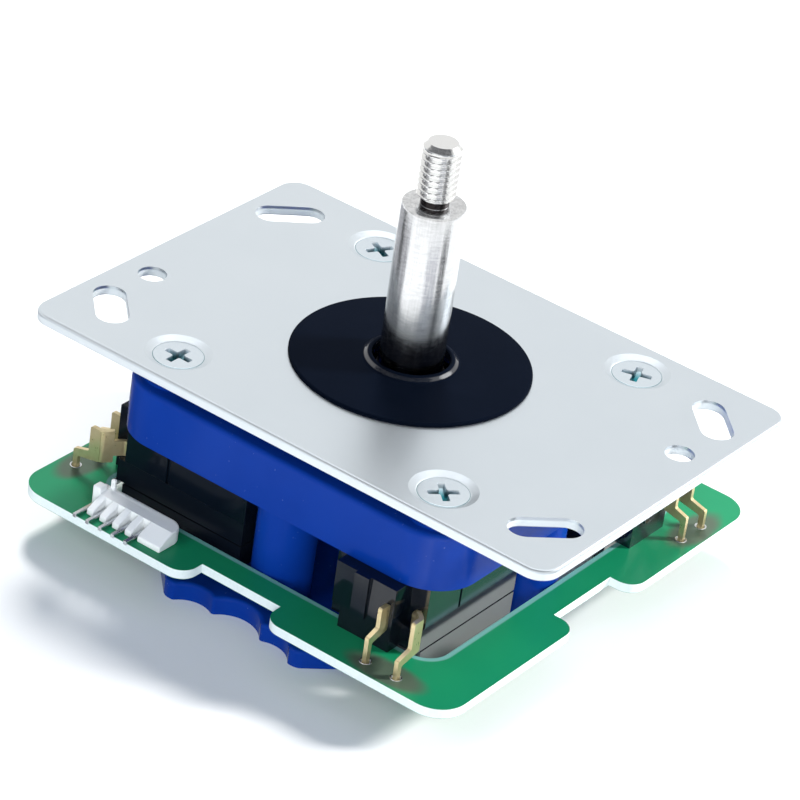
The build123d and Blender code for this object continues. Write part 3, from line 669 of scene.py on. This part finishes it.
def threaded_shaft():
    """Lever shaft with a cut thread.

    The thread's radius at height z and angle a is the outer radius less depth times a triangle wave of the
    phase z / pitch - a / (2 pi), flat at its crests and roots, kept inside a cone at each end."""
    shoulder_point = (
        SHAFT_SHOULDER - CHAMFER_MIDDLE_DROP * SHAFT_CHAMFER,
        shaft_radius - CHAMFER_MIDDLE_INSET * SHAFT_CHAMFER,
    )
    stem = np.array(
        [
            (shaft_foot, 0.0),
            (shaft_foot, ROD_RADIUS - ROD_CHAMFER),
            (shaft_foot + ROD_CHAMFER, ROD_RADIUS),
            (clip_low[2], ROD_RADIUS),
            (clip_low[2], GROOVE_RADIUS),
            (clip_high[2], GROOVE_RADIUS),
            (clip_high[2], ROD_RADIUS),
            (ball_top, ROD_RADIUS),
            (ball_top, shaft_radius),
            (SHAFT_SHOULDER - SHAFT_CHAMFER, shaft_radius),
            shoulder_point,
            (SHAFT_SHOULDER, shaft_radius - SHAFT_CHAMFER),
            (SHAFT_SHOULDER, NECK_RADIUS),
            (NECK_TOP, NECK_RADIUS),
        ]
    )
    z = np.linspace(NECK_TOP, shaft_top, THREAD_ROWS)[1:]
    phase = z[:, None] / THREAD_PITCH - circle(SHAFT_COLUMNS) / (2.0 * np.pi)
    wave = np.abs(2.0 * (phase - np.floor(phase)) - 1.0)
    fade = np.clip((shaft_top - THREAD_CHAMFER - z) / THREAD_PITCH, 0.0, 1.0)[:, None]
    cut = THREAD_DEPTH * fade * np.clip((wave - THREAD_CREST) / THREAD_FLANK, 0.0, 1.0)
    cone = np.minimum(
        NECK_RADIUS + (z - NECK_TOP) * (THREAD_RADIUS - NECK_RADIUS) / THREAD_LEAD_IN,
        THREAD_RADIUS - THREAD_CHAMFER + (shaft_top - z),
    )
    thread = np.minimum(THREAD_RADIUS - cut, cone[:, None])
    plain = np.repeat(stem[:, 1:], SHAFT_COLUMNS, axis=1)
    heights = np.concatenate((stem[:, 0], z, [shaft_top]))
    radii = np.concatenate((plain, thread, np.zeros((1, SHAFT_COLUMNS))))
    grid = turned_grid(heights, radii, SHAFT_COLUMNS)
    return piece_from_grids("lever_shaft_threaded", [grid], "lever", "shaft_chrome", ["lever_shaft"])


def coned_washer():
    """Dust washer: a disc with a rounded rim and a collar that slopes up to the shaft's opening.

    The collar's height over the disc is its full rise times a smooth step that runs from 1 at the opening's
    lip to 0 at the foot of the slope. The rim and the lip are quarter circles."""
    edge = np.linspace(0.0, np.pi / 2, EDGE_ROWS)
    along = np.linspace(1.0, 0.0, COLLAR_ROWS)
    rise = washer_top - WASHER_THICKNESS
    heights = np.concatenate(
        (
            [0.0],
            WASHER_THICKNESS - WASHER_RIM + WASHER_RIM * np.sin(edge),
            WASHER_THICKNESS + rise * (1.0 - smooth(along)),
            washer_top - COLLAR_LIP * (1.0 - np.cos(edge)),
            [0.0, 0.0],
        )
    )
    radii = np.concatenate(
        (
            [washer_radius],
            washer_radius - WASHER_RIM + WASHER_RIM * np.cos(edge),
            WASHER_BORE + COLLAR_LIP + COLLAR_SLOPE * along,
            WASHER_BORE + COLLAR_LIP - COLLAR_LIP * np.sin(edge),
            [WASHER_BORE, washer_radius],
        )
    )
    grid = turned_grid(heights, radii, WASHER_COLUMNS)
    return piece_from_grids("dust_washer_coned", [grid], "base", "washer_black", ["dust_washer"])


def cross_screws():
    """Countersunk screws with a cross recess.

    On the head the height at (x, y) is the head's level less a depth: the depth falls from the middle to the
    arms' ends and is gated by smooth steps across each flared arm's sides and past its tip. The recess
    attribute, which the finish turns into painted shade, is the share of the full depth, and a set value on
    the head's edge."""
    head = screws_high[2]
    inner = np.linspace(0.0, RECESS_FIELD, RECESS_ROWS)
    rings = np.concatenate((inner, HEAD_RINGS, [SCREW_HEAD_RADIUS - SCREW_HEAD_EDGE]))
    edge_middle = HEAD_EDGE_MIDDLE * SCREW_HEAD_EDGE
    edge = [
        (head - edge_middle, SCREW_HEAD_RADIUS - edge_middle),
        (head - SCREW_HEAD_EDGE, SCREW_HEAD_RADIUS - HEAD_EDGE_TAPER),
    ]
    shank = [
        (head - SCREW_HEAD_HEIGHT, SCREW_RADIUS),
        (screws_low[2] + SCREW_TIP, SCREW_RADIUS),
        (screws_low[2], SCREW_RADIUS - SCREW_TIP),
        (screws_low[2], 0.0),
    ]
    below = np.array(edge + shank)
    shade_below = np.zeros((len(below), SCREW_COLUMNS))
    shade_below[: len(edge)] = HEAD_EDGE_SHADE
    offset_x, offset_y = screws_high[:2] - SCREW_HEAD_RADIUS
    grids, marks = [], []
    for (way_x, way_y), turn in SCREW_TURNS.items():
        angle = circle(SCREW_COLUMNS) - math.radians(turn)
        x = np.abs(rings[:, None] * np.cos(angle))
        y = np.abs(rings[:, None] * np.sin(angle))
        along, across = np.maximum(x, y), np.minimum(x, y)
        flare = RECESS_FLARE * np.clip(RECESS_FLARE_REACH - along, 0.0, RECESS_FLARE_REACH)
        side = np.clip((RECESS_ARM / 2 + flare - across) / RECESS_WALL + 0.5, 0.0, 1.0)
        tip = np.clip((RECESS_REACH - along) / (2.0 * RECESS_WALL) + 0.5, 0.0, 1.0)
        depth = smooth(side) * smooth(tip) * RECESS_DEPTH * (1.0 - RECESS_FALL * along / RECESS_REACH)
        top = turned_grid(np.full(len(rings), head), rings, SCREW_COLUMNS)
        top[..., 2] -= depth
        grid = np.concatenate((top, turned_grid(below[:, 0], below[:, 1], SCREW_COLUMNS)))
        grids.append(grid + np.array((way_x * offset_x, way_y * offset_y, 0.0)))
        marks.append(np.concatenate((depth / RECESS_DEPTH, shade_below)))
    return piece_from_grids(
        "plate_screws_cross",
        grids,
        "base",
        "screw_zinc",
        ["plate_screws"],
        SCREW_SHARP_ANGLE,
        ("recess", marks),
    )


def solder_rings():
    """Flat tin rings round the terminals' feet: a pressed circle carried round each foot.

    The feet of the right switch are turned by quarters of a circle, given as cosine and sine."""
    around = np.linspace(0.0, 2.0 * np.pi, RING_ROWS)
    heights = board_high[2] + RING_WIRE_RADIUS * RING_PRESS * np.sin(around)
    ring = turned_grid(heights, RING_RADIUS + RING_WIRE_RADIUS * np.cos(around), RING_COLUMNS)
    foot_y = legs_low[1] + TERMINAL_FOOT_INSET
    outer_x = legs_high[0] - TERMINAL_END_INSET
    grids = []
    for cosine, sine in ((1, 0), (0, 1), (-1, 0), (0, -1)):
        for x in (outer_x, outer_x - TERMINAL_SPACING):
            grids.append(ring + np.array((cosine * x - sine * foot_y, sine * x + cosine * foot_y, 0.0)))
    return piece_from_grids("terminal_solder_rings", grids, "base", "pin_tin")


def bent_spring():
    """Return spring in two halves.

    The wire's centre runs round a helix at angle t and height z(t). A circle of the wire's radius is carried
    along it in the plane of its normal and binormal, with both ends drawn to a point as caps."""
    coil_radius = spring_high[0] - SPRING_WIRE_RADIUS
    bottom, top = spring_low[2] + SPRING_WIRE_RADIUS, spring_high[2] - SPRING_WIRE_RADIUS
    middle = (bottom + top) / 2
    rise = (top - bottom) / (2.0 * np.pi * SPRING_TURNS)
    around = circle(SPRING_COLUMNS)
    halves = (("lower", bottom, middle, "lever", "spring"), ("upper", middle, top, "spring", "base"))
    for name, start, end, first, second in halves:
        t = np.linspace((start - bottom) / rise, (end - bottom) / rise, SPRING_ROWS)
        t = np.concatenate((t[:1], t, t[-1:]))
        wire = np.full(len(t), SPRING_WIRE_RADIUS)
        wire[[0, -1]] = 0.0
        outward = np.stack((np.cos(t), np.sin(t), np.zeros_like(t)), axis=-1)
        upward = np.stack((rise * np.sin(t), -rise * np.cos(t), np.full(len(t), coil_radius)), axis=-1)
        upward /= np.hypot(rise, coil_radius)
        centre = coil_radius * outward + np.stack((0 * t, 0 * t, bottom + rise * t), axis=-1)
        ring = np.cos(around)[:, None] * outward[:, None] + np.sin(around)[:, None] * upward[:, None]
        grid = centre[:, None] + wire[:, None, None] * ring
        piece = piece_from_grids(f"return_spring_{name}", [grid], None, "spring_steel", ["return_spring"])
        start * MM
        end * MM
        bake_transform(piece)


def softened(node, body, width):
    """Copy of a solid with its loose triangles merged, flat faces joined and its edges rounded by a bevel."""
    piece = bpy.data.objects.new(f"{node}_rounded", nodes[node].data.copy())
    shape = bmesh.new()
    shape.from_mesh(piece.data)
    bmesh.ops.remove_doubles(shape, verts=shape.verts, dist=SOLID_MERGE)
    bmesh.ops.dissolve_limit(
        shape,
        angle_limit=math.radians(FLAT_ANGLE),
        verts=shape.verts,
        edges=shape.edges,
        use_dissolve_boundaries=False,
    )
    shape.to_mesh(piece.data)
    shape.free()
    piece.data.polygons.foreach_set("use_smooth", np.ones(len(piece.data.polygons), bool))
    piece.data.set_sharp_from_angle(angle=math.radians(EDGE_ANGLE))
    bevel = piece.modifiers.new("edges", "BEVEL")
    bevel.width = width * MM
    bevel.segments = EDGE_SEGMENTS
    bevel.limit_method = "ANGLE"
    bevel.angle_limit = math.radians(EDGE_ANGLE)
    bevel.harden_normals = True
    return add_piece(piece, body, slot_of[node], [node])


for name, solid in nodes.items():
    dress(solid, slot_of[name])

threaded_shaft()
coned_washer()
cross_screws()
solder_rings()
bent_spring()
for side in SIDES:
    for kind, width in SWITCH_EDGES.items():
        softened(f"{kind}_{side}", "base", width)
for node, width in CONNECTOR_EDGES.items():
    softened(node, "base", width)


def sun(name, strength, colour, toward, spread):
    """Even light from a direction, left out of reflections; spread is its angular size in degrees."""
    lamp = bpy.data.lights.new(name, "SUN")
    lamp.energy = strength
    lamp.color = colour
    lamp.angle = math.radians(spread)
    holder = bpy.data.objects.new(name, lamp)
    holder.rotation_euler = (-Vector(toward)).to_track_quat("-Z", "Y").to_euler()
    holder.visible_glossy = False
    bpy.context.scene.collection.objects.link(holder)


def stage_sheet(name, corners, material):
    """A flat four-cornered sheet of the studio."""
    mesh = bpy.data.meshes.new(name)
    mesh.from_pydata(corners, [], [(0, 1, 2, 3)])
    mesh.materials.append(material)
    sheet = bpy.data.objects.new(name, mesh)
    bpy.context.scene.collection.objects.link(sheet)
    return sheet


def studio_floor():
    """White matt table under the part."""
    finish = Finish("studio_floor")
    speck = finish.noise(size=60.0)
    material = finish.shade(Base_Color=speck.blend((0.87, 0.87, 0.87), (0.90, 0.90, 0.90)), Roughness=0.9)
    ways = ((-1, -1), (1, -1), (1, 1), (-1, 1))
    corners = [(way_x * TABLE_REACH, way_y * TABLE_REACH, floor_level * MM) for way_x, way_y in ways]
    stage_sheet("floor", corners, material)


def card(name, corners, shade, glow=0.0, second=False):
    """A card seen only in reflections: a matt grey, or one that glows. A second card shows only in the
    reflection of a reflection, which leaves the plate clear and still streaks the shaft."""
    finish = Finish(name)
    depth = finish.start.node("ShaderNodeLightPath", output="Glossy Depth")
    material = finish.shade(
        Base_Color=(shade, shade, shade * CARD_BLUE),
        Roughness=0.9,
        Specular_IOR_Level=0.0,
        Alpha=depth.math("GREATER_THAN", ONE_REFLECTION) if second else 1.0,
        Emission_Color=(1.0, 1.0, 1.0),
        Emission_Strength=glow,
    )
    sheet = stage_sheet(name, corners, material)
    sheet.visible_camera = False
    sheet.visible_diffuse = False
    sheet.visible_transmission = False
    sheet.visible_shadow = False


def way_to(azimuth, elevation=0.0):
    """Direction at an azimuth from the camera's own, and at an elevation, both in degrees."""
    turn, tilt = math.radians(CAMERA_AZIMUTH + azimuth), math.radians(elevation)
    return Vector((math.sin(turn) * math.cos(tilt), -math.cos(turn) * math.cos(tilt), math.sin(tilt)))


def streak_card(name, azimuth, spread, lying_shade, standing_shade, far=STREAK_FAR):
    """A grey card for the shaft's streaks: it lies on the table as a sector beyond the plate and then stands
    up behind, so the shaft shows one streak from end to end. A shorter card lies over a longer one."""
    table = Vector((0.0, 0.0, floor_level * MM + STREAK_LIFT * STREAK_FAR / far))
    top = Vector((0.0, 0.0, STREAK_RISE * far))
    left, right = way_to(azimuth - spread / 2), way_to(azimuth + spread / 2)
    far_left, far_right = left * far + table, right * far + table
    lying = [left * STREAK_NEAR + table, right * STREAK_NEAR + table, far_right, far_left]
    standing = [far_left, far_right, right * far + top, left * far + top]
    card(f"{name}_lying", lying, lying_shade)
    card(f"{name}_standing", standing, standing_shade, second=True)


def sky_card(name, azimuth, spread, low, high, shade, glow=0.0):
    """A card in the sky, between two elevations and across a spread of azimuths."""
    ends = ((-0.5, low), (0.5, low), (0.5, high), (-0.5, high))
    corners = [way_to(azimuth + side * spread, tilt) * SKY_DISTANCE for side, tilt in ends]
    card(name, corners, shade, glow)


def studio_world():
    """Cool even light for surfaces; white where the camera, gloss or clear parts look past the table."""
    world = bpy.data.worlds.new("studio")
    world.use_nodes = True
    bpy.context.scene.world = world
    tree = world.node_tree
    tree.nodes.clear()
    start = Wire(tree)
    seen = start.node("ShaderNodeLightPath", output="Is Camera Ray")
    for ray in ("Is Glossy Ray", "Is Transmission Ray"):
        seen = seen.most(start.node("ShaderNodeLightPath", output=ray))
    ambient = start.node("ShaderNodeBackground", {}, {"Color": (0.15, 0.195, 0.25, 1.0), "Strength": 1.0})
    white = start.node("ShaderNodeBackground", {}, {"Color": (1.0, 1.0, 1.0, 1.0), "Strength": 1.0})
    both = start.node("ShaderNodeMixShader", {}, {0: seen, 1: ambient, 2: white})
    start.node("ShaderNodeOutputWorld", {}, {"Surface": both})


def studio_camera():
    """Camera at the photograph's place, aimed along its azimuth and elevation and rolled about its axis."""
    lens = bpy.data.cameras.new("camera")
    lens.lens = CAMERA_LENS
    lens.sensor_width = CAMERA_SENSOR
    lens.clip_start = CAMERA_NEAR
    lens.clip_end = CAMERA_FAR
    camera = bpy.data.objects.new("camera", lens)
    aim = (-way_to(0.0, CAMERA_ELEVATION)).to_track_quat("-Z", "Y").to_matrix().to_4x4()
    roll = Matrix.Rotation(math.radians(CAMERA_ROLL), 4, "Z")
    camera.matrix_world = Matrix.Translation(CAMERA_PLACE) @ aim @ roll
    bpy.context.scene.collection.objects.link(camera)
    bpy.context.scene.camera = camera


studio_floor()
studio_world()
studio_camera()
sun("key_right", strength=5.3, colour=WARM_WHITE, toward=(1.46, 1.38, 1.0), spread=10.0)
sun("key_left", strength=3.4, colour=WARM_WHITE, toward=(-0.68, 0.83, 1.0), spread=12.0)
sun("fill", strength=1.9, colour=(0.94, 1.0, 1.06), toward=(0.50, -0.78, 0.30), spread=30.0)
sun("fill_left", strength=0.6, colour=(0.97, 1.0, 1.03), toward=(-0.35, -0.80, 0.75), spread=30.0)
streak_card("card_left", azimuth=-102.0, spread=76.0, lying_shade=0.3, standing_shade=0.14)
streak_card("card_left_core", azimuth=-97.0, spread=18.0, lying_shade=0.08, standing_shade=0.08, far=0.5)
streak_card("card_middle", azimuth=23.0, spread=36.0, lying_shade=0.5, standing_shade=0.5)
streak_card("card_right", azimuth=58.0, spread=22.0, lying_shade=0.12, standing_shade=0.12)
sky_card("card_above", azimuth=0.0, spread=90.0, low=40.0, high=92.0, shade=0.12)
sky_card("card_above_left", azimuth=-75.0, spread=60.0, low=36.0, high=78.0, shade=0.12)
sky_card("card_above_right", azimuth=62.0, spread=34.0, low=44.0, high=78.0, shade=0.12)
sky_card("card_side", azimuth=110.0, spread=30.0, low=20.0, high=44.0, shade=0.5, glow=4.0)
sky_card("card_back", azimuth=180.0, spread=110.0, low=50.0, high=72.0, shade=0.5, glow=1.8)
bpy.context.scene.view_settings.view_transform = "Standard"
